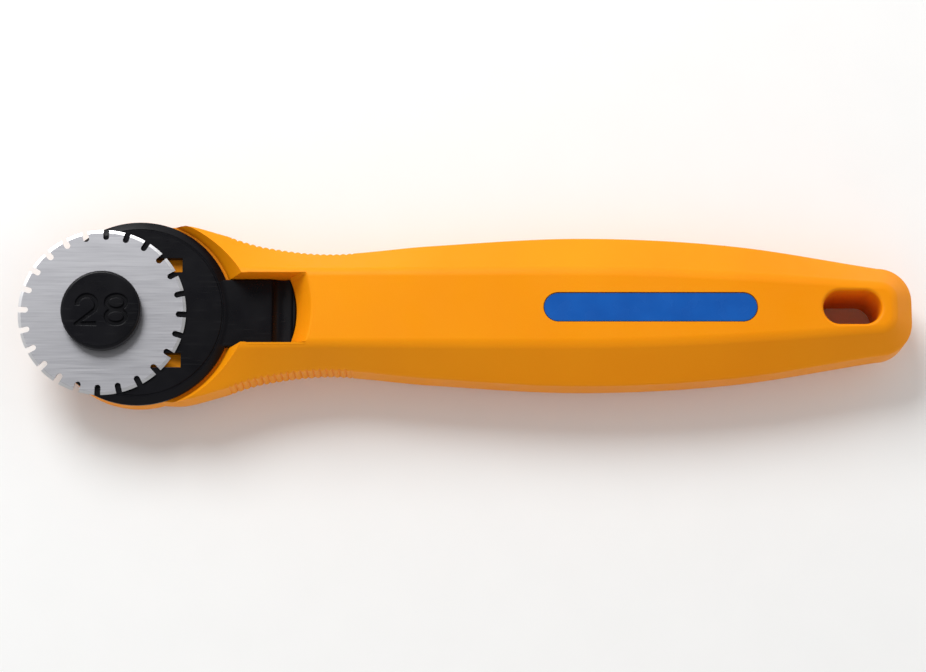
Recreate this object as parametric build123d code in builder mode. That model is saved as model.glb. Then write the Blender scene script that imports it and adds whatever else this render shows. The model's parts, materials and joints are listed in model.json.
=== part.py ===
from build123d import *
import os

os.makedirs("parts", exist_ok=True)

# Rotary cutter with a perforating blade, in millimetres. It lies on its back: X runs along the handle with
# the blade at -X, Z is up, and Y = 0 is its plane of symmetry. The origin is on the surface that it lies
# on, under the middle of its length.

# Overall size
length = 148.7
thickness = 15.0
blade_diameter = 28.0
bolt_x = (blade_diameter - length) / 2
handle_end = length / 2

# Handle: flat front and back, sloped facets, upright side walls. Stations are (distance from the bolt,
# half width).
facet_depth = 4.2
side_top = thickness - facet_depth
seam_z = facet_depth
side_stations = [(11.8, 15.05), (19.4, 13.3), (27, 11.1), (38, 9.9), (54.5, 11.28), (79.6, 12.57),
                 (104.7, 11.28), (127.2, 7.82)]
flat_stations = [(11.8, 6.2), (38, 6.2), (54.5, 6.2), (85, 6.15), (104.7, 5.35), (124.7, 4.06)]
end_corner = 5.5
flat_end = handle_end - 3.4
flat_corner = 2.4

# Cavity of the handle, closed short of the thumb window and of the hanging hole
wall = 2.0
cavity_shoulder = 0.5
cavity_stations = [(38, 7.5), (54.5, 8.9), (79.6, 10.2), (104.7, 8.9), (116, 7.2)]
roof_stations = [(38, 4.6), (54.5, 4.7), (79.6, 4.8), (104.7, 4.0), (116, 3.4)]
rib_thickness = 1.4
rib_stations = [58, 72, 100]
post_stations = [46, 86, 112]
post_diameter = 6.0
dowel_diameter = 3.0
dowel_length = 2.2
dowel_end_gap = 0.3
fit_gap = 0.05

# Head: a round plate that carries the bolt, inside a round recess with sloped walls
guard_travel = 6.0
guard_x = bolt_x + guard_travel
plate_top = 8.8
head_radius = 15.4
recess_radius = 16.0
recess_mouth_radius = 18.4

# Thumb window: a slot with an arched end and a ramp behind it
window_half = 5.85
window_corner_x = bolt_x + 31.3
window_arch = 1.1
ramp_run = 2.7
ramp_foot = 10.4

# Grip ridges on the side walls
grip_start = 21.5
grip_end = 41.5
grip_pitch = 1.07
grip_depth = 0.3
grip_half = 0.45

# Hanging hole and label
hole_x = bolt_x + 124.3
hole_length = 9.6
hole_width = 5.6
lip = 0.6
label_x = bolt_x + 91.0
label_length = 35.4
label_width = 5.0
label_recess = 0.6
label_thickness = 0.45
label_gap = 0.1

# Guard
guard_radius = 15.55
guard_bottom = plate_top + 0.15
guard_top = 10.4
rim_chamfer = 0.3
tongue_top = 10.0
slide_gap = 0.15
block_start = bolt_x + 27.0
block_bottom = 6.5
block_half = 4.3
pocket_start = block_start - guard_travel - 2 * slide_gap
dish_x = bolt_x + 29.85
dish_half = 1.75
dish_depth = 0.9
guide_y = 8.07
guide_width = 2.35
guide_left = bolt_x - 1.0
guide_right = bolt_x + 13.2
rail_height = 1.1

# Blade
blade_bottom = guard_top + 0.15
blade_thickness = 0.3
blade_hole = 8.05
bevel_width = 0.5
edge_thickness = 0.04
slot_count = 24
slot_width = 1.0
slot_depth = 1.7
slot_phase = -1.75

# Bolt and cap
shoulder_diameter = 7.95
shoulder_bottom = guard_top + 0.05
cap_bottom = blade_bottom + blade_thickness + 0.1
cap_top = 13.1
cap_diameter = 13.3
cap_edge = 0.5
numeral_height = 5.6
numeral_width = 4.0
numeral_stroke = 0.75
numeral_offset = 2.57
numeral_depth = 0.3
head_top = cap_bottom + 1.2
shank_diameter = 6.0
shank_flats = 4.6
thread_diameter = 5.0
thread_end = 0.8
thread_top = seam_z - 0.03
thread_chamfer = 0.4

# Washer and nut
washer_diameter = 11.0
washer_sheet = 0.3
washer_rise = 0.25
washer_top = seam_z - 0.05
nut_top = washer_top - washer_sheet - washer_rise - 0.05
nut_bottom = 0.4
nut_diameter = 17.0
nut_flutes = 16
flute_diameter = 2.0
insert_diameter = 7.5
insert_bottom = 0.6


def stations_to_points(stations):
    return [(bolt_x + x, y) for x, y in stations]


def plan(curve, end, corner):
    """The plan between a side curve and its mirror image, with a blunt rounded end."""
    last = curve @ 1
    along = curve % 1
    tip = last + along * ((end - last.X) / along.X)
    first = curve @ 0
    with BuildSketch() as profile:
        with BuildLine():
            add(curve)
            Polyline((last.X, last.Y), (tip.X, tip.Y), (tip.X, -tip.Y), (last.X, -last.Y))
            add(curve.mirror(Plane.XZ))
            Line((first.X, -first.Y), (first.X, first.Y))
        make_face()
        fillet([v for v in profile.vertices() if abs(v.X - end) < 0.01], corner)
    return profile.sketch


def spans(stations):
    """The plan with straight spans through the stations and their mirror image."""
    upper = stations_to_points(stations)
    lower = [(x, -y) for x, y in reversed(upper)]
    with BuildSketch() as profile:
        with BuildLine():
            Polyline(*upper, *lower, close=True)
        make_face()
    return profile.sketch


def window(reach, half):
    """The thumb window's plan, its arched end moved on by reach."""
    corner = window_corner_x + reach
    with BuildSketch() as profile:
        with BuildLine():
            Polyline((corner, half), (guard_x, half), (guard_x, -half), (corner, -half))
            ThreePointArc((corner, -half), (corner + window_arch, 0), (corner, half))
        make_face()
    return profile.sketch


def double_d(diameter, flats):
    with BuildSketch() as profile:
        Circle(diameter / 2)
        Rectangle(diameter, flats, mode=Mode.INTERSECT)
    return profile.sketch


def hollow(rim_z, shoulder_z, roof_z):
    """The space inside a shell, with its ribs and dowel posts left standing."""
    with BuildPart() as space:
        with BuildSketch(Plane.XY.offset(shoulder_z)):
            add(spans(cavity_stations))
        with BuildSketch(Plane.XY.offset(roof_z)):
            add(spans(roof_stations))
        loft(ruled=True)
        if shoulder_z != rim_z:
            with BuildSketch(Plane.XY.offset(rim_z)):
                add(spans(cavity_stations))
            extrude(amount=shoulder_z - rim_z)
        with BuildSketch(Plane.XY.offset(rim_z)):
            with Locations([(bolt_x + x, 0) for x in rib_stations]):
                Rectangle(rib_thickness, blade_diameter)
            with Locations([(bolt_x + x, 0) for x in post_stations]):
                Circle(post_diameter / 2)
        extrude(amount=roof_z - rim_z, mode=Mode.SUBTRACT)
    return space.part


def side_at(x):
    """The side curve's point and heading at a given X, found by halving."""
    low, high = 0.0, 1.0
    for _ in range(24):
        middle = (low + high) / 2
        if (side_curve @ middle).X < x:
            low = middle
        else:
            high = middle
    along = side_curve % low
    return Location(side_curve @ low, Axis.X.direction.get_signed_angle(along, Axis.Z.direction))


def grip_grooves():
    """V grooves across both side walls, square to the side curve."""
    count = int((grip_end - grip_start) / grip_pitch) + 1
    with BuildSketch() as grooves:
        with Locations([side_at(bolt_x + grip_start + grip_pitch * i) for i in range(count)]):
            Polygon((-grip_half, grip_depth), (grip_half, grip_depth), (0, -grip_depth), align=None)
        mirror(about=Plane.XZ)
    return grooves.sketch


def hole_rim(edges, z):
    """Edges of the hanging hole at one height."""
    return [e for e in edges if abs(e.center().Z - z) < 0.01 and abs(e.center().Y) < hole_width / 2 + 0.1
            and abs(e.center().X - hole_x) < hole_length / 2 + 0.1]


def numerals():
    """The blade's size in plain strokes: a two and an eight."""
    bowl = (numeral_width - numeral_stroke) / 2
    top = (numeral_height - numeral_stroke) / 2
    left, right = -numeral_offset, numeral_offset
    neck = top - bowl
    with BuildSketch() as digits:
        with BuildLine():
            ThreePointArc((left - bowl, neck), (left, top), (left + bowl, neck))
            Line((left + bowl, neck), (left - bowl, -top))
            Line((left - bowl, -top), (left + bowl, -top))
        trace(line_width=numeral_stroke)
        for y in (top / 2, -top / 2):
            with Locations((right, y)):
                Ellipse(bowl + numeral_stroke / 2, (top + numeral_stroke) / 2)
        for y in (top / 2, -top / 2):
            with Locations((right, y)):
                Ellipse(bowl - numeral_stroke / 2, (top - numeral_stroke) / 2, mode=Mode.SUBTRACT)
    return digits.sketch


side_curve = Spline(*stations_to_points(side_stations))
flat_curve = Spline(*stations_to_points(flat_stations))
posts = [(bolt_x + x, 0) for x in post_stations]


# Front shell: the handle's face and side walls, the head plate and the thumb window
with BuildPart() as handle_front_shell:
    with BuildSketch(Plane.XY.offset(side_top)):
        add(plan(side_curve, handle_end, end_corner))
    with BuildSketch(Plane.XY.offset(thickness)):
        add(plan(flat_curve, flat_end, flat_corner))
    loft(ruled=True)
    with BuildSketch(Plane.XY.offset(seam_z)):
        add(plan(side_curve, handle_end, end_corner))
    extrude(amount=side_top - seam_z)
    with BuildSketch(Plane.XY.offset(seam_z)):
        add(grip_grooves())
    extrude(amount=side_top - seam_z + grip_depth, mode=Mode.SUBTRACT)
    add(hollow(seam_z, side_top - cavity_shoulder, thickness - wall), mode=Mode.SUBTRACT)
    # round recess over the head plate
    with Locations((guard_x, 0, plate_top)):
        Cone(recess_radius, recess_mouth_radius, thickness - plate_top,
             align=(Align.CENTER, Align.CENTER, Align.MIN), mode=Mode.SUBTRACT)
    with BuildSketch(Plane.XY.offset(seam_z)):
        with Locations((guard_x, 0)):
            Circle(head_radius)
    extrude(amount=plate_top - seam_z)
    # thumb window, its ramp and the pocket that the thumb block runs in
    with BuildSketch(Plane.XY.offset(plate_top)):
        add(window(0, window_half))
    extrude(amount=ramp_foot - plate_top, mode=Mode.SUBTRACT)
    with BuildSketch(Plane.XY.offset(ramp_foot)):
        add(window(0, window_half))
    with BuildSketch(Plane.XY.offset(thickness)):
        add(window(ramp_run, window_half))
    loft(ruled=True, mode=Mode.SUBTRACT)
    with BuildSketch(Plane.XY.offset(plate_top)):
        with Locations((pocket_start, 0)):
            Rectangle(window_corner_x - pocket_start, 2 * (block_half + slide_gap),
                      align=(Align.MIN, Align.CENTER))
    extrude(amount=block_bottom - slide_gap - plate_top, mode=Mode.SUBTRACT)
    # rails that the guard's guide slots run along
    with BuildSketch(Plane.XY.offset(plate_top)):
        with Locations((guide_left + slide_gap, guide_y), (guide_left + slide_gap, -guide_y)):
            Rectangle(guide_right - guard_travel - guide_left - 2 * slide_gap,
                      guide_width - 2 * slide_gap, align=(Align.MIN, Align.CENTER))
    extrude(amount=rail_height)
    # keyed hole for the bolt
    with BuildSketch(Plane.XY.offset(seam_z)):
        with Locations((bolt_x, 0)):
            add(double_d(shank_diameter + 2 * fit_gap, shank_flats + 2 * fit_gap))
    extrude(amount=plate_top - seam_z, mode=Mode.SUBTRACT)
    # hanging hole and label recess
    with BuildSketch(Plane.XY.offset(thickness)):
        with Locations((hole_x, 0)):
            SlotOverall(hole_length, hole_width)
    extrude(amount=seam_z - thickness, mode=Mode.SUBTRACT)
    fillet(hole_rim(handle_front_shell.edges(), thickness), lip)
    with BuildSketch(Plane.XY.offset(thickness)):
        with Locations((label_x, 0)):
            SlotOverall(label_length, label_width)
    extrude(amount=-label_recess, mode=Mode.SUBTRACT)
    # dowels that enter the back shell's posts
    with BuildSketch(Plane.XY.offset(seam_z)):
        with Locations(posts):
            Circle(dowel_diameter / 2)
    extrude(amount=-dowel_length)
handle_front_shell.part.label = "handle_front_shell"
export_step(handle_front_shell.part, "parts/handle_front_shell.step")


# Back shell: the flat that the cutter lies on, its facets and the recess round the nut
with BuildPart() as handle_back_shell:
    with BuildSketch(Plane.XY):
        add(plan(flat_curve, flat_end, flat_corner))
    with BuildSketch(Plane.XY.offset(seam_z)):
        add(plan(side_curve, handle_end, end_corner))
    loft(ruled=True)
    add(hollow(seam_z, seam_z, wall), mode=Mode.SUBTRACT)
    with Locations((guard_x, 0, 0)):
        Cone(recess_mouth_radius, recess_radius, seam_z,
             align=(Align.CENTER, Align.CENTER, Align.MIN), mode=Mode.SUBTRACT)
    with BuildSketch(Plane.XY):
        with Locations((hole_x, 0)):
            SlotOverall(hole_length, hole_width)
    extrude(amount=seam_z, mode=Mode.SUBTRACT)
    fillet(hole_rim(handle_back_shell.edges(), 0), lip)
    with BuildSketch(Plane.XY.offset(seam_z)):
        with Locations(posts):
            Circle(dowel_diameter / 2 + fit_gap)
    extrude(amount=-dowel_length - dowel_end_gap, mode=Mode.SUBTRACT)
handle_back_shell.part.label = "handle_back_shell"
export_step(handle_back_shell.part, "parts/handle_back_shell.step")


# Label: a plain plate let into the front flat
with BuildPart() as label_plate:
    with BuildSketch(Plane.XY.offset(thickness - label_recess)):
        with Locations((label_x, 0)):
            SlotOverall(label_length - 2 * label_gap, label_width - 2 * label_gap)
    extrude(amount=label_thickness)
label_plate.part.label = "label_plate"
export_step(label_plate.part, "parts/label_plate.step")


# Guard, drawn back: a disc behind the blade and a tongue with a dished thumb block
with BuildPart() as blade_guard:
    with BuildSketch(Plane.XY.offset(guard_bottom)):
        with Locations((guard_x, 0)):
            Circle(guard_radius)
    extrude(amount=guard_top - guard_bottom)
    chamfer(blade_guard.edges().group_by(Axis.Z)[-1], rim_chamfer)
    with BuildSketch(Plane.XY.offset(guard_bottom)):
        add(window(-slide_gap, window_half - slide_gap))
    extrude(amount=tongue_top - guard_bottom)
    with BuildSketch(Plane.XY.offset(guard_bottom)):
        with Locations((block_start, 0)):
            Rectangle(window_corner_x - slide_gap - block_start, 2 * block_half,
                      align=(Align.MIN, Align.CENTER))
    extrude(amount=block_bottom - guard_bottom)
    with BuildSketch(Plane.XZ.offset(-window_half)):
        with BuildLine():
            ThreePointArc((dish_x - dish_half, tongue_top), (dish_x, tongue_top - dish_depth),
                          (dish_x + dish_half, tongue_top))
            Line((dish_x + dish_half, tongue_top), (dish_x - dish_half, tongue_top))
        make_face()
    extrude(amount=2 * window_half, mode=Mode.SUBTRACT)
    with BuildSketch(Plane.XY.offset(guard_bottom)):
        with Locations((guide_left, guide_y), (guide_left, -guide_y)):
            Rectangle(guide_right - guide_left, guide_width, align=(Align.MIN, Align.CENTER))
        with Locations((bolt_x + guard_travel / 2, 0)):
            SlotCenterToCenter(guard_travel, shank_diameter + 2 * slide_gap)
    extrude(amount=guard_top - guard_bottom, mode=Mode.SUBTRACT)
blade_guard.part.label = "blade_guard"
export_step(blade_guard.part, "parts/blade_guard.step")


# Perforating blade: a ground disc with slots in its edge
with BuildPart() as cutting_blade:
    blade_radius = blade_diameter / 2
    blade_middle = blade_bottom + blade_thickness / 2
    with BuildSketch(Plane.XZ):
        with BuildLine():
            Polyline((0, blade_bottom), (blade_radius - bevel_width, blade_bottom),
                     (blade_radius, blade_middle - edge_thickness / 2),
                     (blade_radius, blade_middle + edge_thickness / 2),
                     (blade_radius - bevel_width, blade_bottom + blade_thickness),
                     (0, blade_bottom + blade_thickness), close=True)
        make_face()
    revolve(axis=Axis.Z)
    with BuildSketch(Plane.XY.offset(blade_bottom)):
        Circle(blade_hole / 2)
        with PolarLocations(blade_radius, slot_count, start_angle=slot_phase):
            SlotCenterToCenter(2 * slot_depth - slot_width, slot_width)
    extrude(amount=blade_thickness, mode=Mode.SUBTRACT)
cutting_blade.part.label = "cutting_blade"
cutting_blade.part.locate(Location((bolt_x, 0, 0)))
export_step(cutting_blade.part, "parts/cutting_blade.step")


# Bolt: a head inside the cap, a shoulder that the blade turns on, a keyed shank and a threaded end
with BuildPart() as pivot_bolt:
    with BuildSketch(Plane.XY.offset(shoulder_bottom)):
        with Locations((bolt_x, 0)):
            Circle(shoulder_diameter / 2)
    extrude(amount=head_top - shoulder_bottom)
    with BuildSketch(Plane.XY.offset(thread_top)):
        with Locations((bolt_x, 0)):
            add(double_d(shank_diameter, shank_flats))
    extrude(amount=shoulder_bottom - thread_top)
    with BuildSketch(Plane.XY.offset(thread_end)):
        with Locations((bolt_x, 0)):
            Circle(thread_diameter / 2)
    extrude(amount=thread_top - thread_end)
    chamfer(pivot_bolt.edges().group_by(Axis.Z)[0], thread_chamfer)
pivot_bolt.part.label = "pivot_bolt"
export_step(pivot_bolt.part, "parts/pivot_bolt.step")


# Cap moulded over the bolt's head, engraved with the blade's size
with BuildPart() as bolt_cap:
    with BuildSketch(Plane.XY.offset(cap_bottom)):
        with Locations((bolt_x, 0)):
            Circle(cap_diameter / 2)
    extrude(amount=cap_top - cap_bottom)
    fillet(bolt_cap.edges().group_by(Axis.Z)[-1], cap_edge)
    with BuildSketch(Plane.XY.offset(cap_bottom)):
        with Locations((bolt_x, 0)):
            Circle(shoulder_diameter / 2)
    extrude(amount=head_top - cap_bottom, mode=Mode.SUBTRACT)
    with BuildSketch(Plane.XY.offset(cap_top - numeral_depth)):
        with Locations((bolt_x, 0)):
            add(numerals())
    extrude(amount=numeral_depth, mode=Mode.SUBTRACT)
bolt_cap.part.label = "bolt_cap"
export_step(bolt_cap.part, "parts/bolt_cap.step")


# Spring washer: a ring of thin sheet bent to a shallow arch
with BuildPart() as spring_washer:
    with BuildSketch(Plane.XZ.offset(-washer_diameter / 2)):
        half = washer_diameter / 2
        foot = washer_top - washer_sheet - washer_rise
        with BuildLine():
            ThreePointArc((bolt_x - half, foot), (bolt_x, foot + washer_rise), (bolt_x + half, foot))
            Line((bolt_x + half, foot), (bolt_x + half, foot + washer_sheet))
            ThreePointArc((bolt_x + half, foot + washer_sheet), (bolt_x, washer_top),
                          (bolt_x - half, foot + washer_sheet))
            Line((bolt_x - half, foot + washer_sheet), (bolt_x - half, foot))
        make_face()
    extrude(amount=washer_diameter)
    with BuildSketch(Plane.XY.offset(foot)):
        with Locations((bolt_x, 0)):
            Circle(half)
            Circle(thread_diameter / 2 + slide_gap, mode=Mode.SUBTRACT)
    extrude(amount=washer_top - foot, mode=Mode.INTERSECT)
spring_washer.part.label = "spring_washer"
export_step(spring_washer.part, "parts/spring_washer.step")


# Nut knob: a fluted disc turned by hand, with a brass insert moulded in
with BuildPart() as nut_knob:
    with BuildSketch(Plane.XY.offset(nut_bottom)):
        with Locations((bolt_x, 0)):
            Circle(nut_diameter / 2)
            Circle(insert_diameter / 2, mode=Mode.SUBTRACT)
            with PolarLocations(nut_diameter / 2 + flute_diameter / 4, nut_flutes):
                Circle(flute_diameter / 2, mode=Mode.SUBTRACT)
    extrude(amount=nut_top - nut_bottom)
nut_knob.part.label = "nut_knob"
export_step(nut_knob.part, "parts/nut_knob.step")

with BuildPart() as nut_insert:
    with BuildSketch(Plane.XY.offset(insert_bottom)):
        with Locations((bolt_x, 0)):
            Circle(insert_diameter / 2)
            Circle(thread_diameter / 2 + fit_gap, mode=Mode.SUBTRACT)
    extrude(amount=nut_top - insert_bottom)
nut_insert.part.label = "nut_insert"
export_step(nut_insert.part, "parts/nut_insert.step")
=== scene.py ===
import json
from math import cos, pi, radians, sin, sqrt

import bmesh
import bpy
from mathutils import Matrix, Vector


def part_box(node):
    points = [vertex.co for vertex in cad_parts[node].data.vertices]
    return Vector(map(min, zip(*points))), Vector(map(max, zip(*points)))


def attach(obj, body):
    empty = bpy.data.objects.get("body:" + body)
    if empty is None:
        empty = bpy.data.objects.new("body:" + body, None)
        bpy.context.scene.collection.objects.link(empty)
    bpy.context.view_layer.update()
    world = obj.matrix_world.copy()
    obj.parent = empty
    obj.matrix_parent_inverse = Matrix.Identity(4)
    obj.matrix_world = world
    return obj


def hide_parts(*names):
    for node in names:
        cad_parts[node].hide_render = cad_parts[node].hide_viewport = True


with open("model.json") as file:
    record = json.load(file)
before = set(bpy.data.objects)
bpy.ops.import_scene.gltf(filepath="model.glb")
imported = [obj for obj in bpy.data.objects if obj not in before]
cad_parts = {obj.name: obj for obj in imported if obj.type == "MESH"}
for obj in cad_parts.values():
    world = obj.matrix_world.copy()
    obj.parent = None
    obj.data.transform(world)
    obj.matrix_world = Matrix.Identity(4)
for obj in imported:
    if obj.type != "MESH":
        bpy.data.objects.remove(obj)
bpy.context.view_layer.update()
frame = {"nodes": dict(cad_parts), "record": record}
nodes = frame["nodes"]
mm = 0.001

# Lengths below are in millimetres, and places along X are counted from the bolt
boltLow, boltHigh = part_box("pivot_bolt")
boltX = (boltLow.x + boltHigh.x) / 2


def linear(hexText):
    # sRGB hex to the linear colour that sockets take
    values = [int(hexText[i:i + 2], 16) / 255 for i in (0, 2, 4)]
    return [v / 12.92 if v <= 0.04045 else ((v + 0.055) / 1.055) ** 2.4 for v in values] + [1.0]


def addNode(tree, kind, settings=None, links=None):
    # one node with its settings (socket name or number, or attribute) and the sockets that feed it
    node = tree.nodes.new(kind)
    for name, value in (settings or {}).items():
        if isinstance(name, int) or name in node.inputs:
            node.inputs[name].default_value = value
        else:
            setattr(node, name, value)
    for name, source in (links or {}).items():
        tree.links.new(source, node.inputs[name])
    return node


view = {"lens": 110, "tilt": 11.5, "width": 154.8, "aim": (-0.3, -3.4, 7.5)}

cameraData = bpy.data.cameras.new("camera")
cameraData.lens = view["lens"]
cameraData.clip_start, cameraData.clip_end = 0.01, 10
camera = bpy.data.objects.new("camera", cameraData)
bpy.context.scene.collection.objects.link(camera)
bpy.context.scene.camera = camera
distance = view["width"] * mm / 2 * view["lens"] / (cameraData.sensor_width / 2)
tilt = radians(view["tilt"])
camera.location = Vector(view["aim"]) * mm + distance * Vector((0, -sin(tilt), cos(tilt)))
camera.rotation_euler = (tilt, 0, 0)

# A dark card hangs overhead, so that flat faces keep their full colour, and the walls round it are bright
studio = {"floor": "FBFBFA", "floorGrain": "F8F8F7", "floorSize": 3, "floorDrop": 0.02,
          "cardDirection": (0, 0.25, 0.97), "cardLight": 0.22, "wallLight": 0.80, "cardEdge": 0.96, "wallEdge": 0.66,
          "nearSide": 0.68, "farSide": 1.0,
          "key": 3.85, "keyPlace": (-0.24, 0.46, 0.50), "keySize": 0.42,
          "fill": 0.2, "fillPlace": (0.62, 0.02, 0.30), "fillSize": 0.30}


def areaLight(name, place, size, power):
    data = bpy.data.lights.new(name, "AREA")
    data.shape, data.size, data.energy = "DISK", size, power
    light = bpy.data.objects.new(name, data)
    light.location = place
    light.rotation_euler = (-Vector(place)).to_track_quat("-Z", "Y").to_euler()
    bpy.context.scene.collection.objects.link(light)


areaLight("keyLight", studio["keyPlace"], studio["keySize"], studio["key"])
areaLight("fillLight", studio["fillPlace"], studio["fillSize"], studio["fill"])

world = bpy.data.worlds.new("studioWalls")
world.use_nodes = True
tree = world.node_tree
direction = addNode(tree, "ShaderNodeTexCoord").outputs["Generated"]
toCard = addNode(tree, "ShaderNodeVectorMath", {"operation": "DOT_PRODUCT"}, {0: direction})
toCard.inputs[1].default_value = studio["cardDirection"]
glow = addNode(tree, "ShaderNodeMapRange", {"interpolation_type": "SMOOTHSTEP", "From Min": studio["wallEdge"],
                                            "From Max": studio["cardEdge"], "To Min": studio["wallLight"],
                                            "To Max": studio["cardLight"]}, {"Value": toCard.outputs["Value"]})
apart = addNode(tree, "ShaderNodeSeparateXYZ", {}, {"Vector": direction})
sides = addNode(tree, "ShaderNodeMapRange", {"From Min": -0.8, "From Max": 0.3, "To Min": studio["nearSide"],
                                             "To Max": studio["farSide"]}, {"Value": apart.outputs["Y"]})
light = addNode(tree, "ShaderNodeMath", {"operation": "MULTIPLY"},
                {0: glow.outputs["Result"], 1: sides.outputs["Result"]})
tree.nodes["Background"].inputs["Color"].default_value = (1, 1, 1, 1)
tree.links.new(light.outputs["Value"], tree.nodes["Background"].inputs["Strength"])
bpy.context.scene.world = world
bpy.context.scene.view_settings.view_transform = "Standard"

bpy.ops.object.select_all(action="DESELECT")
bpy.ops.mesh.primitive_plane_add(size=studio["floorSize"], location=(0, 0, -studio["floorDrop"] * mm))
floor = bpy.context.object
floor.name = "studioFloor"
print("camera and studio ready")


def newMaterial(name, shader):
    material = bpy.data.materials.new(name)
    material.use_nodes = True
    tree = material.node_tree
    surface = tree.nodes["Principled BSDF"]
    for socket, value in shader.items():
        surface.inputs[socket].default_value = value
    spot = addNode(tree, "ShaderNodeTexCoord").outputs["Object"]
    return material, tree, surface, spot


def speckle(tree, spot, grain, detail=2):
    # soft noise whose blobs are about this many millimetres across
    return addNode(tree, "ShaderNodeTexNoise", {"Scale": 1 / (grain * mm), "Detail": detail},
                   {"Vector": spot}).outputs["Fac"]


def spread(tree, value, low, high, fromLow=0.3, fromHigh=0.7):
    return addNode(tree, "ShaderNodeMapRange", {"From Min": fromLow, "From Max": fromHigh, "To Min": low,
                                                "To Max": high}, {"Value": value}).outputs["Result"]


def blended(tree, factor, first, second):
    # mixes two colours, each an sRGB hex or a socket
    mix = addNode(tree, "ShaderNodeMix", {"data_type": "RGBA"})
    tree.links.new(factor, mix.inputs["Factor"])
    for socket, colour in ((mix.inputs[6], first), (mix.inputs[7], second)):
        if isinstance(colour, str):
            socket.default_value = linear(colour)
        else:
            tree.links.new(colour, socket)
    return mix.outputs[2]


def relief(tree, surface, height, depth, strength=1.0):
    bump = addNode(tree, "ShaderNodeBump", {"Strength": strength, "Distance": depth * mm}, {"Height": height})
    tree.links.new(bump.outputs["Normal"], surface.inputs["Normal"])


def scratches(tree, spot, spacing, length, turn):
    # long thin streaks in one direction: 1 in the streak, 0 elsewhere
    turned = addNode(tree, "ShaderNodeMapping", {"Rotation": (0, 0, radians(turn)),
                                                 "Scale": (spacing / length, 1, 1)}, {"Vector": spot})
    noise = speckle(tree, turned.outputs["Vector"], spacing, 1)
    return spread(tree, noise, 0, 1, 0.66, 0.72)


# Paper roll: matt, with a faint tooth
floorPaper, tree, surface, spot = newMaterial("paperBackdrop", {"Roughness": 0.95})
tree.links.new(blended(tree, speckle(tree, spot, 8), studio["floor"], studio["floorGrain"]),
               surface.inputs["Base Color"])
floor.data.materials.append(floorPaper)

# ABS, injection moulded: a satin skin, slightly deeper colour where the melt flowed, fine spark texture that
# is drawn about twice as coarse as real, and faint handling scratches
absOrange, tree, surface, spot = newMaterial("mouldedAbsOrange", {
    "IOR": 1.53, "Specular IOR Level": 0.11, "Subsurface Weight": 0.06, "Subsurface Scale": 0.6 * mm,
    "Subsurface Radius": (1.0, 0.4, 0.1)})
flow = blended(tree, spread(tree, speckle(tree, spot, 30), 0, 1), "FA9B0B", "F39104")
tree.links.new(flow, surface.inputs["Base Color"])
skin = spread(tree, speckle(tree, spot, 7), 0.36, 0.48)
scuffed = addNode(tree, "ShaderNodeMath", {"operation": "MULTIPLY_ADD", 1: 0.16},
                  {0: scratches(tree, spot, 0.35, 9, 24), 2: skin})
tree.links.new(scuffed.outputs["Value"], surface.inputs["Roughness"])
relief(tree, surface, speckle(tree, spot, 0.5, 3), 0.012, 0.5)

# Acetal, injection moulded: dense black with a slightly waxy sheen and a finer grain than the handle
acetalBlack, tree, surface, spot = newMaterial("mouldedAcetalBlack", {"IOR": 1.48, "Specular IOR Level": 0.17})
tree.links.new(blended(tree, spread(tree, speckle(tree, spot, 12), 0, 1), "08080C", "0C0C11"),
               surface.inputs["Base Color"])
skin = spread(tree, speckle(tree, spot, 4), 0.24, 0.34)
scuffed = addNode(tree, "ShaderNodeMath", {"operation": "MULTIPLY_ADD", 1: 0.14},
                  {0: scratches(tree, spot, 0.3, 6, -38), 2: skin})
tree.links.new(scuffed.outputs["Value"], surface.inputs["Roughness"])
relief(tree, surface, speckle(tree, spot, 0.4, 3), 0.010, 0.5)

# Printed film label: even blue ink under a smooth clear varnish with a slight orange peel
labelBlue, tree, surface, spot = newMaterial("printedFilmBlue", {
    "IOR": 1.5, "Specular IOR Level": 0.3, "Coat Weight": 0.15, "Coat Roughness": 0.08})
tree.links.new(blended(tree, spread(tree, speckle(tree, spot, 5), 0, 1), "0A52A8", "0F5AB2"),
               surface.inputs["Base Color"])
tree.links.new(spread(tree, speckle(tree, spot, 3), 0.22, 0.3), surface.inputs["Roughness"])
relief(tree, surface, speckle(tree, spot, 1.2), 0.01, 0.4)

# Tool steel, surface ground along X and honed at the rim: fine streaks about 0.15 mm apart with a soft grey
# glare; the bevelled rim is smoother, and its colour is lifted near white as a painted highlight
bladeSteel, tree, surface, spot = newMaterial("groundToolSteel", {"Metallic": 1.0})
streaks = addNode(tree, "ShaderNodeMapping", {"Scale": (0.15 / 7, 1, 0.05)}, {"Vector": spot})
grinding = speckle(tree, streaks.outputs["Vector"], 0.15, 3)
patches = addNode(tree, "ShaderNodeMapping", {"Scale": (0.2, 1, 1)}, {"Vector": spot})
cloud = speckle(tree, patches.outputs["Vector"], 2.5)
centred = addNode(tree, "ShaderNodeMapping", {"Location": (-boltX, 0, 0), "Scale": (1, 1, 0)}, {"Vector": spot})
reach = addNode(tree, "ShaderNodeVectorMath", {"operation": "LENGTH"}, {0: centred.outputs["Vector"]})
edgeStart, edgeFull = 13.48, 13.56  # radii over which the rim turns smoother and takes its painted highlight
rim = spread(tree, reach.outputs["Value"], 0, 1, edgeStart * mm, edgeFull * mm)
ground = blended(tree, spread(tree, grinding, 0, 1), "A9A9AE", "B8B8BC")
ground = blended(tree, spread(tree, cloud, 0, 0.25), ground, "A2A2A8")
# painted highlight: the bevelled rim is coloured near white (E4E4E6), well above the ground face's grey
tree.links.new(blended(tree, rim, ground, "E4E4E6"), surface.inputs["Base Color"])
dull = spread(tree, grinding, 0.38, 0.46)
honed = addNode(tree, "ShaderNodeMath", {"operation": "MULTIPLY_ADD", 1: -0.08}, {0: rim, 2: dull})
tree.links.new(honed.outputs["Value"], surface.inputs["Roughness"])
relief(tree, surface, grinding, 0.004, 0.22)

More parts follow.
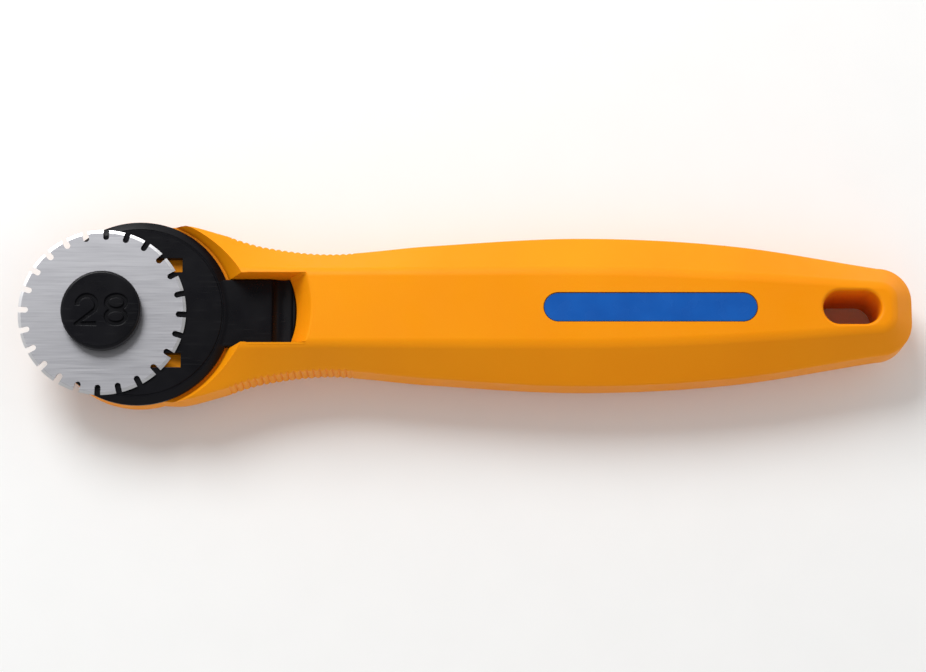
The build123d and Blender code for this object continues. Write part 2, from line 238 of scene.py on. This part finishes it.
# Nickel plated steel and brass, both turned: bright, with fine rings about 0.2 mm apart
turned = {"boltSteel": ("nickelPlatedSteel", "B9B6AF", "CFCCC5"), "insertBrass": ("turnedBrass", "B88C3C", "D2A654")}
for slot, (name, dark, light) in turned.items():
    material, tree, surface, spot = newMaterial(name, {"Metallic": 1.0})
    centred = addNode(tree, "ShaderNodeMapping", {"Location": (-boltX, 0, 0)}, {"Vector": spot})
    rings = addNode(tree, "ShaderNodeTexWave", {"wave_type": "RINGS", "rings_direction": "Z",
                                                "Scale": 1 / (0.2 * mm) / 20, "Distortion": 1.5, "Detail": 2},
                    {"Vector": centred.outputs["Vector"]}).outputs["Fac"]
    tree.links.new(blended(tree, rings, dark, light), surface.inputs["Base Color"])
    tree.links.new(spread(tree, speckle(tree, spot, 0.8), 0.24, 0.4), surface.inputs["Roughness"])
    relief(tree, surface, rings, 0.004, 0.4)
    turned[slot] = material
boltSteel, insertBrass = turned["boltSteel"], turned["insertBrass"]

finishes = {"handle_plastic": absOrange, "black_plastic": acetalBlack, "label_blue": labelBlue,
            "blade_steel": bladeSteel, "bolt_steel": boltSteel, "insert_brass": insertBrass}
for part in frame["record"]["subparts"]:
    node = nodes[part["node"]]
    node.data.materials.clear()
    node.data.materials.append(finishes[part["material_slot"]])
print("materials ready")


def selectWhere(kind, test):
    # replaces the edit-mode selection with the verts, edges or faces that pass the test
    mesh = bmesh.from_edit_mesh(bpy.context.object.data)
    for element in (*mesh.verts, *mesh.edges, *mesh.faces):
        element.select = False
    for element in getattr(mesh, kind):
        if test(element):
            element.select_set(True)
    bpy.context.tool_settings.mesh_select_mode = [kind == k for k in ("verts", "edges", "faces")]
    bmesh.update_edit_mesh(bpy.context.object.data)


def startEdit(solid):
    bpy.ops.object.select_all(action="DESELECT")
    solid.select_set(True)
    bpy.context.view_layer.objects.active = solid
    bpy.ops.object.mode_set(mode="EDIT")
    bpy.ops.mesh.select_all(action="SELECT")


def closeAndTurnOut():
    # fills the open ends and points the faces outwards
    selectWhere("edges", lambda e: e.is_boundary)
    bpy.ops.mesh.edge_face_add()
    bpy.ops.mesh.select_all(action="SELECT")
    bpy.ops.mesh.normals_make_consistent(inside=False)
    bpy.ops.object.mode_set(mode="OBJECT")


def stackedPlans(name, layers):
    # a solid through (plan, height) layers: the first plan filled, then extruded from layer to layer
    bpy.ops.object.select_all(action="DESELECT")
    bpy.ops.mesh.primitive_circle_add(vertices=len(layers[0][0]), fill_type="NGON", radius=mm)
    solid = bpy.context.object
    solid.name = name
    startEdit(solid)
    before = [tuple(v.co[:2]) for v in solid.data.vertices]
    for count, (points, z) in enumerate(layers):
        if count:
            bpy.ops.mesh.extrude_region_move()
        mesh = bmesh.from_edit_mesh(solid.data)
        order = {(round(x, 8), round(y, 8)): i for i, (x, y) in enumerate(before)}
        for vertex in [v for v in mesh.verts if v.select]:
            x, y = points[order[(round(vertex.co.x, 8), round(vertex.co.y, 8))]]
            vertex.co = (boltX + x * mm, y * mm, z * mm)
        before = [tuple(Vector((boltX + x * mm, y * mm, 0))[:2]) for x, y in points]
        bmesh.update_edit_mesh(solid.data)
    closeAndTurnOut()
    return solid


def turnedStack(name, centreX, rings, stretch=0, sides=96):
    # a round solid through (radius, height) rings, its two halves then drawn apart along X
    x = boltX + centreX * mm
    bpy.ops.object.select_all(action="DESELECT")
    bpy.ops.mesh.primitive_circle_add(vertices=sides, radius=rings[0][0] * mm, fill_type="NGON",
                                      location=(x, 0, rings[0][1] * mm), rotation=(0, 0, radians(180 / sides)))
    solid = bpy.context.object
    solid.name = name
    bpy.ops.object.transform_apply(location=True, rotation=True)
    startEdit(solid)
    for (radius, z), (nextRadius, nextZ) in zip(rings, rings[1:]):
        grow = nextRadius / radius
        bpy.ops.mesh.extrude_region_move(TRANSFORM_OT_translate={"value": (0, 0, (nextZ - z) * mm)})
        bpy.ops.transform.resize(value=(grow, grow, 1), center_override=(x, 0, nextZ * mm))
    for sign in (1, -1) if stretch else ():
        selectWhere("verts", lambda v: (v.co.x - x) * sign > 0)
        bpy.ops.transform.translate(value=(sign * stretch / 2 * mm, 0, 0))
    closeAndTurnOut()
    return solid


def box(name, low, high):
    corners = [(low[0], low[1]), (high[0], low[1]), (high[0], high[1]), (low[0], high[1])]
    return stackedPlans(name, [(corners, low[2]), (corners, high[2])])


def sliced(solid, point, normal):
    # cuts away what lies past the plane and closes the cut
    startEdit(solid)
    bpy.ops.mesh.bisect(plane_co=point, plane_no=normal, use_fill=True, clear_outer=True)
    bpy.ops.object.mode_set(mode="OBJECT")
    return solid


def combine(target, tool, operation="DIFFERENCE"):
    modifier = target.modifiers.new("combine", "BOOLEAN")
    modifier.object, modifier.operation, modifier.solver = tool, operation, "EXACT"
    bpy.context.view_layer.objects.active = target
    bpy.ops.object.modifier_apply(modifier=modifier.name)
    bpy.data.objects.remove(tool)


def soften(target, width, test, segments=3):
    # rounds the edges that pass the test
    startEdit(target)
    selectWhere("edges", test)
    bpy.ops.mesh.bevel(offset=width * mm, segments=segments, affect="EDGES", clamp_overlap=False)
    bpy.ops.object.mode_set(mode="OBJECT")


def repeatedRoundBolt(tool, count, phase=0):
    # the tool copied evenly round the bolt's axis, all as one object
    copies = [tool]
    for i in range(1, count):
        another = tool.copy()
        another.data = tool.data.copy()
        bpy.context.scene.collection.objects.link(another)
        copies.append(another)
    for i, another in enumerate(copies):
        startEdit(another)
        bpy.ops.transform.rotate(value=-radians(360 * i / count + phase), orient_axis="Z",
                                 center_override=(boltX, 0, 0))
        bpy.ops.object.mode_set(mode="OBJECT")
    for another in copies:
        another.select_set(True)
    bpy.context.view_layer.objects.active = tool
    bpy.ops.object.join()
    return tool


def weld(target, gap=0.01):
    startEdit(target)
    bpy.ops.mesh.remove_doubles(threshold=gap * mm)
    bpy.ops.mesh.dissolve_degenerate(threshold=gap * mm / 2)
    bpy.ops.object.mode_set(mode="OBJECT")


def atHeight(edge, z, slack=0.002):
    return all(abs(v.co.z / mm - z) < slack for v in edge.verts)


def sharp(edge, angle=30):
    return len(edge.link_faces) == 2 and edge.calc_face_angle() > radians(angle)


def finishPiece(piece, material, body, slot, *replaced, smooth=32):
    bpy.ops.object.select_all(action="DESELECT")
    piece.select_set(True)
    bpy.context.view_layer.objects.active = piece
    bpy.ops.object.shade_smooth_by_angle(angle=radians(smooth))
    even = piece.modifiers.new("evenShading", "WEIGHTED_NORMAL")
    even.keep_sharp = True
    bpy.ops.object.modifier_apply(modifier=even.name)
    piece.data.materials.clear()
    piece.data.materials.append(material)
    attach(piece, body)
    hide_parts(*replaced)


handle = {"thickness": 15, "facetDepth": 4.2, "seamGap": 0.07, "end": 134.7, "flatEnd": 131.3,
          "side": [(8, 14.55), (13.4, 14.85), (19.4, 13.35), (27, 11.1), (38, 9.9), (54.5, 11.28),
                   (79.6, 12.57), (104.7, 11.28), (129.2, 7.4)],
          "flat": [(8, 6.2), (38, 6.2), (54.5, 6.2), (85, 6.15), (104.7, 5.35), (129.3, 3.8)],
          "endCorner": 5.6, "flatCorner": 2.4, "cornerSteps": 14, "step": 1.9,
          "gripStart": 21.3, "gripEnd": 41.8, "gripPitch": 1.07, "gripDepth": 0.3, "gripFade": 0.35,
          "softFlat": 1.0, "softSide": 0.28}
head = {"guardX": 6.0, "plateRadius": 15.4, "plateTop": 8.8, "plateBottom": 4.2, "recess": 16.0, "mouth": 18.4,
        "windowHalf": 5.85, "archX": 18.1, "archRadius": 14.3, "rampFoot": 10.4, "rampRun": 2.7,
        "pocket": (20.7, 31.3, 4.45, 6.35), "rail": (-0.85, 7.05, 8.07, 1.02, 9.9), "boltHole": 3.05, "softEdge": 0.4}
hanging = {"x": 124.3, "length": 9.6, "width": 5.6, "lip": 0.6, "lipSteps": 6}
label = {"x": 91.0, "length": 35.4, "width": 5.0, "depth": 0.6, "gap": 0.1, "thickness": 0.45, "soft": 0.12}


def smoothThrough(stations, x):
    # a smooth curve through the stations, with the slope at each taken from its neighbours
    last = len(stations) - 1
    i = max(k for k in range(last) if k == 0 or stations[k][0] <= x)
    slope = []
    for k in (i, i + 1):
        before, after = stations[max(k - 1, 0)], stations[min(k + 1, last)]
        slope.append((after[1] - before[1]) / (after[0] - before[0]))
    (x0, y0), (x1, y1) = stations[i], stations[i + 1]
    t, run = (x - x0) / (x1 - x0), x1 - x0
    return (y0 * (1 + 2 * t) * (1 - t) ** 2 + slope[0] * run * t * (1 - t) ** 2
            + y1 * t * t * (3 - 2 * t) + slope[1] * run * t * t * (t - 1))


def handlePlan(stations, end, corner, depth=0):
    # the outline from the bolt side round the hanging end and back, with grip ridges of this depth
    h = handle
    last, start = end - corner, stations[0][0]
    xs = [start + i * h["step"] / 2 for i in range(int((h["gripStart"] - start) * 2 / h["step"]))]
    for i in range(round((h["gripEnd"] - h["gripStart"]) / h["gripPitch"])):
        xs += [h["gripStart"] + h["gripPitch"] * (i + share) for share in (0, 0.12, 0.3, 0.5, 0.7, 0.88)]
    steps = int((last - h["gripEnd"]) / h["step"])
    xs += [h["gripEnd"] + (last - h["gripEnd"]) * i / steps for i in range(steps + 1)]
    points = []
    for x in xs:
        groove = 0
        if h["gripStart"] < x < h["gripEnd"] - 0.1:
            groove = depth * (1 - sin(pi * ((x - h["gripStart"]) / h["gripPitch"] % 1)) ** 0.7)
        points.append((x, smoothThrough(stations, x) - groove))
    y = points[-1][1]
    for i in range(1, h["cornerSteps"] + 1):
        turn = radians(90 * i / h["cornerSteps"])
        points.append((last + corner * sin(turn), y - corner * (1 - cos(turn))))
    return points + [(x, -y) for x, y in reversed(points)]


def lipRings(radius, lip, steps, z, outward):
    # rings of a rounded lip that opens to a flat face at height z
    rings = []
    for i in range(steps + 1):
        turn = radians(90 * i / steps)
        rings.append((radius + lip * (1 - cos(turn)), z - outward * lip * (1 - sin(turn))))
    return rings


# Handle: one faceted bar first, then its openings, then the parting into two shells
top, drop, fade = handle["thickness"], handle["facetDepth"], handle["gripFade"]
flat = handlePlan(handle["flat"], handle["flatEnd"], handle["flatCorner"])
side = handlePlan(handle["side"], handle["end"], handle["endCorner"])
ridges = handlePlan(handle["side"], handle["end"], handle["endCorner"], handle["gripDepth"])
share = fade / drop
above = [(a[0] + (b[0] - a[0]) * share, a[1] + (b[1] - a[1]) * share) for a, b in zip(side, flat)]
shell = stackedPlans("handleFront", [(flat, 0), (above, drop - fade), (ridges, drop), (ridges, top - drop),
                                     (above, top - drop + fade), (flat, top)])
soften(shell, handle["softFlat"], lambda e: atHeight(e, 0) or atHeight(e, top), 5)
soften(shell, handle["softSide"], lambda e: atHeight(e, drop) or atHeight(e, top - drop), 3)

grow = (head["mouth"] - head["recess"]) / (top - head["plateTop"])
combine(shell, turnedStack("frontRecess", head["guardX"],
                           [(head["recess"], head["plateTop"]), (head["mouth"] + grow, top + 1)], sides=160))
combine(shell, turnedStack("backRecess", head["guardX"],
                           [(head["mouth"] + grow, -1), (head["recess"], head["plateBottom"])], sides=160))
ramp = head["rampRun"] / (top - head["rampFoot"])
rimRadius, rimHeight = head["archRadius"] + head["rampRun"], head["softEdge"]
arch = turnedStack("window", head["archX"],
                   [(head["archRadius"], head["plateTop"]), (head["archRadius"], head["rampFoot"]),
                    (rimRadius - ramp * rimHeight, top - rimHeight), (rimRadius + 0.02, top - 0.35 * rimHeight),
                    (rimRadius + 0.6 * rimHeight, top), (rimRadius + 0.6 * rimHeight, top + 1)], sides=160)
for sign in (1, -1):
    sliced(arch, (0, sign * head["windowHalf"] * mm, 0), (0, sign, 0))
combine(shell, arch)
radius, lip = hanging["width"] / 2, hanging["lip"]
rings = ([(radius + lip, -1)] + lipRings(radius, lip, hanging["lipSteps"], 0, -1)[::-1]
         + lipRings(radius, lip, hanging["lipSteps"], top, 1) + [(radius + lip, top + 1)])
combine(shell, turnedStack("hangingHole", hanging["x"], rings, hanging["length"] - hanging["width"], sides=64))
radius = label["width"] / 2
combine(shell, turnedStack("labelRecess", label["x"], [(radius, top - label["depth"]), (radius, top + 1)],
                           label["length"] - label["width"], sides=64))
weld(shell)


def onWindowRim(edge):
    # the rim of one of the window's two straight walls
    return (sharp(edge, 20) and all(abs(abs(v.co.y / mm) - head["windowHalf"]) < 0.01 and v.co.z > 13 * mm
                                    and v.co.x > boltX + 24.2 * mm for v in edge.verts))


soften(shell, head["softEdge"], onWindowRim)
startEdit(shell)
selectWhere("verts", lambda v: v.co.z > top * mm)  # what the bevel pushed up goes back to the flat
bpy.ops.transform.resize(value=(1, 1, 0), center_override=(0, 0, top * mm))
bpy.ops.object.mode_set(mode="OBJECT")

bpy.ops.object.select_all(action="DESELECT")
shell.select_set(True)
bpy.ops.object.duplicate()
backShell = bpy.context.object
backShell.name = "handleBack"
combine(shell, box("frontHalf", (-5, -20, drop), (140, 20, top + 1)), "INTERSECT")
combine(backShell, box("backHalf", (-5, -20, -1), (140, 20, drop - handle["seamGap"])), "INTERSECT")

radius, low, high = head["plateRadius"], head["plateBottom"], head["plateTop"]
combine(shell, turnedStack("headPlate", head["guardX"],
                           [(radius - 0.5, low), (radius, low + 0.5), (radius, high - 0.6),
                            (radius - 0.15, high - 0.2), (radius - 0.5, high)], sides=160), "UNION")
pocketStart, pocketEnd, pocketHalf, pocketBottom = head["pocket"]
combine(shell, box("pocket", (pocketStart, -pocketHalf, pocketBottom), (pocketEnd, pocketHalf, high + 0.2)))
railStart, railEnd, railY, railHalf, railTop = head["rail"]
for sign in (1, -1):
    rail = box("rail", (railStart, sign * railY - railHalf, high - 1),
               (railEnd, sign * railY + railHalf, railTop))
    soften(rail, 0.2, lambda e: atHeight(e, railTop))
    combine(shell, rail, "UNION")
combine(shell, turnedStack("boltHole", 0, [(head["boltHole"], 4), (head["boltHole"], 9.5)], sides=64))
weld(shell)
finishPiece(shell, absOrange, "handle", "handle_plastic", "handle_front_shell")
finishPiece(backShell, absOrange, "handle", "handle_plastic", "handle_back_shell")
print("handle shells ready", len(shell.data.polygons), len(backShell.data.polygons))

radius, bottom = label["width"] / 2 - label["gap"], top - label["depth"]
labelPiece = turnedStack("labelPlate", label["x"],
                         [(radius, bottom), (radius, bottom + label["thickness"] - label["soft"]),
                          (radius - 0.3 * label["soft"], bottom + label["thickness"] - 0.3 * label["soft"]),
                          (radius - label["soft"], bottom + label["thickness"])],
                         label["length"] - label["width"], sides=64)
finishPiece(labelPiece, labelBlue, "handle", "label_blue", "label_plate")
print("label ready")

guard = {"centreX": 6.0, "bottom": 8.95, "top": 10.4,
         "rings": [(15.15, 8.95), (15.55, 9.2), (15.55, 9.75), (15.42, 9.88), (14.3, 10.36), (14.2, 10.27),
                   (14.0, 10.27), (13.9, 10.4)],
         "tongue": (31.15, 5.7, 1.1, 10.0), "tongueSoft": 0.22,
         "block": (27.0, 31.0, 4.3, 6.5), "dish": (29.95, 11.25, 2.15), "dishSoft": 0.3,
         "guide": (-1.0, 13.2, 8.07, 1.175), "boltSlot": (3.0, 3.15, 6.0)}

disc = turnedStack("bladeGuard", guard["centreX"], guard["rings"], sides=192)
corner, half, sagitta, tongueTop = guard["tongue"]
archRadius = (half ** 2 + sagitta ** 2) / (2 * sagitta)
points = [(guard["centreX"], half)]
for i in range(25):
    y = half * (1 - i / 12)
    points.append((corner + sagitta - archRadius + sqrt(archRadius ** 2 - y ** 2), y))
points.append((guard["centreX"], -half))
tongue = stackedPlans("tongue", [(points, guard["bottom"]), (points, tongueTop)])
soften(tongue, guard["tongueSoft"], lambda e: atHeight(e, tongueTop))
blockStart, blockEnd, blockHalf, blockBottom = guard["block"]
block = box("block", (blockStart, -blockHalf, blockBottom), (blockEnd, blockHalf, guard["bottom"] + 0.4))
soften(block, 0.3, lambda e: atHeight(e, blockBottom))
combine(tongue, block, "UNION")
dishX, dishZ, dishRadius = guard["dish"]
bpy.ops.object.select_all(action="DESELECT")
bpy.ops.mesh.primitive_cylinder_add(vertices=96, radius=dishRadius * mm, depth=20 * mm,
                                    location=(boltX + dishX * mm, 0, dishZ * mm), rotation=(radians(90), 0, 0))
bpy.ops.object.transform_apply(location=True, rotation=True)
combine(tongue, bpy.context.object)
soften(tongue, guard["dishSoft"], lambda e: sharp(e) and atHeight(e, tongueTop, 0.01)
       and abs(e.verts[0].co.x - e.verts[1].co.x) < 0.01 * mm and e.verts[0].co.x > boltX + 20 * mm)
combine(disc, tongue, "UNION")
guideStart, guideEnd, guideY, guideHalf = guard["guide"]
for sign in (1, -1):
    combine(disc, box("guideSlot", (guideStart, sign * guideY - guideHalf, 8),
                      (guideEnd, sign * guideY + guideHalf, 11)))
slotX, slotRadius, slotRun = guard["boltSlot"]
combine(disc, turnedStack("boltSlot", slotX, [(slotRadius, 8), (slotRadius, 11)], slotRun, sides=48))
weld(disc, 0.004)
soften(disc, 0.12, lambda e: sharp(e, 60) and atHeight(e, guard["top"], 0.005), 2)
finishPiece(disc, acetalBlack, "guard", "black_plastic", "blade_guard")
print("guard ready", len(disc.data.polygons))

blade = {"radius": 14.0, "rim": 0.5, "bottom": 10.55, "top": 10.85, "edge": 0.04, "hole": 4.02,
         "slots": 24, "slotWidth": 1.0, "slotDepth": 1.7, "phase": -1.75}

middle = (blade["bottom"] + blade["top"]) / 2
outer, inner = blade["radius"], blade["radius"] - blade["rim"]
bladePiece = turnedStack("cuttingBlade", 0, [(inner, blade["bottom"]), (outer, middle - blade["edge"] / 2),
                                             (outer, middle + blade["edge"] / 2), (inner, blade["top"])], sides=288)
slotHalf = blade["slotWidth"] / 2
slotX = outer - blade["slotDepth"] + slotHalf
slotTool = turnedStack("slotTool", slotX + 1.5, [(slotHalf, 10), (slotHalf, 11.5)], 3, sides=28)
combine(bladePiece, repeatedRoundBolt(slotTool, blade["slots"], blade["phase"]))
combine(bladePiece, turnedStack("bladeHole", 0, [(blade["hole"], 10), (blade["hole"], 11.5)], sides=72))
weld(bladePiece, 0.004)
finishPiece(bladePiece, bladeSteel, "blade", "blade_steel", "cutting_blade", smooth=4)
print("blade ready", len(bladePiece.data.polygons))

cap = {"radius": 6.65, "bottom": 10.95, "top": 13.1, "soft": 0.5, "seat": (3.98, 12.16),
       "twoX": -2.3, "eightX": 2.57, "numeralWidth": 4.0, "numeralHeight": 5.5, "stroke": 0.75, "numeralDepth": 0.4,
       "numeralSlope": 0.1, "numeralSoft": 0.13, "mitre": 0.45}


def ovalPlan(x, y, halfWidth, halfHeight):
    return [(x + halfWidth * cos(radians(9 * i)), y + halfHeight * sin(radians(9 * i))) for i in range(40)]


def strokePlan(line, half, shift):
    # the outline of a stroke of even width along an open line
    left, right = [], []
    for i, (x, y) in enumerate(line):
        before, after = line[max(i - 1, 0)], line[min(i + 1, len(line) - 1)]
        first = Vector((x - before[0], y - before[1])) if i else Vector((after[0] - x, after[1] - y))
        second = Vector((after[0] - x, after[1] - y)) if i < len(line) - 1 else first
        first, second = first.normalized(), second.normalized()
        across = Vector((-first.y - second.y, first.x + second.x)).normalized()
        width = half / max(across.dot(Vector((-first.y, first.x))), cap["mitre"])
        left.append((x + shift + across.x * width, y + across.y * width))
        right.append((x + shift - across.x * width, y - across.y * width))
    return left + right[::-1]


rings = [(cap["radius"] - 0.2, cap["bottom"]), (cap["radius"], cap["bottom"] + 0.2)]
for i in range(7):
    turn = radians(15 * i)
    rings.append((cap["radius"] - cap["soft"] * (1 - cos(turn)), cap["top"] - cap["soft"] * (1 - sin(turn))))
capPiece = turnedStack("boltCap", 0, rings, sides=144)
seatRadius, seatTop = cap["seat"]
combine(capPiece, turnedStack("seat", 0, [(seatRadius, cap["bottom"] - 1), (seatRadius, seatTop)], sides=72))
floorZ, overZ, slope = cap["top"] - cap["numeralDepth"], cap["top"] + 0.5, cap["numeralSlope"]
half = cap["stroke"] / 2
bowl, reachY = cap["numeralWidth"] / 2 - half, cap["numeralHeight"] / 2 - half  # of the strokes' middle lines
centreLine = [(bowl * cos(radians(t)), reachY - bowl + bowl * sin(radians(t))) for t in range(180, -31, -15)]
centreLine += [(-bowl, -reachY), (bowl, -reachY)]
mouth, foot = strokePlan(centreLine, half, cap["twoX"]), strokePlan(centreLine, half - slope, cap["twoX"])
two = stackedPlans("numeralTwo", [(foot, floorZ), (mouth, cap["top"]), (mouth, overZ)])
sliced(two, (boltX + (cap["twoX"] - bowl - half) * mm, 0, 0), (-1, 0, 0))
combine(capPiece, two)
for y in (reachY / 2, -reachY / 2):
    mouth = ovalPlan(cap["eightX"], y, bowl + half, reachY / 2 + half)
    foot = ovalPlan(cap["eightX"], y, bowl + half - slope, reachY / 2 + half - slope)
    combine(capPiece, stackedPlans("numeralBowl", [(foot, floorZ), (mouth, cap["top"]), (mouth, overZ)]))
for y in (reachY / 2, -reachY / 2):
    island = ovalPlan(cap["eightX"], y, bowl - half, reachY / 2 - half)
    foot = ovalPlan(cap["eightX"], y, bowl - half + slope, reachY / 2 - half + slope)
    combine(capPiece, stackedPlans("numeralIsland", [(foot, floorZ - 0.1), (island, cap["top"])]), "UNION")
weld(capPiece, 0.004)
soften(capPiece, cap["numeralSoft"], lambda e: sharp(e, 45) and atHeight(e, cap["top"], 0.005))
finishPiece(capPiece, acetalBlack, "handle", "black_plastic", "bolt_cap")
print("cap ready", len(capPiece.data.polygons))

bolt = {"tip": 0.8, "thread": 2.5, "threadRoot": 2.1, "pitch": 0.8, "threadTop": 4.16, "shank": 3.0, "flats": 2.3,
        "shoulderBottom": 10.45, "shoulder": 3.95, "top": 12.12}

rings = [(bolt["threadRoot"] - 0.2, bolt["tip"]), (bolt["threadRoot"], bolt["tip"] + 0.15)]
z = bolt["tip"] + 0.3
while z + bolt["pitch"] < bolt["threadTop"]:
    rings += [(bolt["thread"], z + 0.3), (bolt["thread"], z + 0.4), (bolt["threadRoot"], z + 0.7),
              (bolt["threadRoot"], z + 0.8)]
    z += bolt["pitch"]
rings += [(bolt["threadRoot"], bolt["threadTop"]), (bolt["shank"], bolt["threadTop"] + 0.02),
          (bolt["shank"], bolt["shoulderBottom"] - 0.02), (bolt["shoulder"], bolt["shoulderBottom"]),
          (bolt["shoulder"], bolt["top"] - 0.2), (bolt["shoulder"] - 0.2, bolt["top"])]
boltPiece = turnedStack("pivotBolt", 0, rings, sides=72)
for sign in (1, -1):
    lowY, highY = sorted((sign * bolt["flats"], sign * 4))
    combine(boltPiece, box("flat", (-4, lowY, bolt["threadTop"] - 0.1), (4, highY, bolt["shoulderBottom"] - 0.4)))
finishPiece(boltPiece, boltSteel, "handle", "bolt_steel", "pivot_bolt")
print("bolt ready", len(boltPiece.data.polygons))

nut = {"bottom": 0.4, "top": 3.55, "radius": 8.45, "soft": 0.45, "flutes": 16, "fluteX": 9.0, "fluteRadius": 1.0,
       "dish": (7.1, 0.95), "collar": 4.9, "insert": 3.75, "insertBottom": 0.6, "bore": 2.55}

knob = turnedStack("nutKnob", 0, [(nut["radius"] - nut["soft"], nut["bottom"]),
                                  (nut["radius"] - 0.3 * nut["soft"], nut["bottom"] + 0.3 * nut["soft"]),
                                  (nut["radius"], nut["bottom"] + nut["soft"]),
                                  (nut["radius"], nut["top"] - 0.3), (nut["radius"] - 0.3, nut["top"])], sides=160)
dishRadius, dishTop = nut["dish"]
combine(knob, turnedStack("dish", 0, [(dishRadius, nut["bottom"] - 1), (dishRadius, nut["bottom"]),
                                      (dishRadius - 0.4, dishTop)], sides=96))
combine(knob, turnedStack("collar", 0, [(nut["collar"] - 0.2, nut["bottom"] + 0.05),
                                        (nut["collar"], nut["bottom"] + 0.25), (nut["collar"] + 0.1, 2)], sides=96),
        "UNION")
flute = turnedStack("flute", nut["fluteX"], [(nut["fluteRadius"], -1), (nut["fluteRadius"], 5)], sides=28)
combine(knob, repeatedRoundBolt(flute, nut["flutes"]))
combine(knob, turnedStack("insertHole", 0, [(nut["insert"], -1), (nut["insert"], 5)], sides=72))
weld(knob, 0.004)
finishPiece(knob, acetalBlack, "nut", "black_plastic", "nut_knob")

low, high, outer = nut["insertBottom"], nut["top"], nut["insert"] - 0.01
insertPiece = turnedStack("nutInsert", 0, [(outer - 0.25, low), (outer, low + 0.25), (outer, high - 0.1),
                                           (outer - 0.1, high)], sides=72)
combine(insertPiece, turnedStack("bore", 0, [(nut["bore"] + 0.9, low - 0.5), (nut["bore"], low + 0.4),
                                             (nut["bore"], high + 1)], sides=72))
finishPiece(insertPiece, insertBrass, "nut", "insert_brass", "nut_insert")
print("nut ready", len(knob.data.polygons))
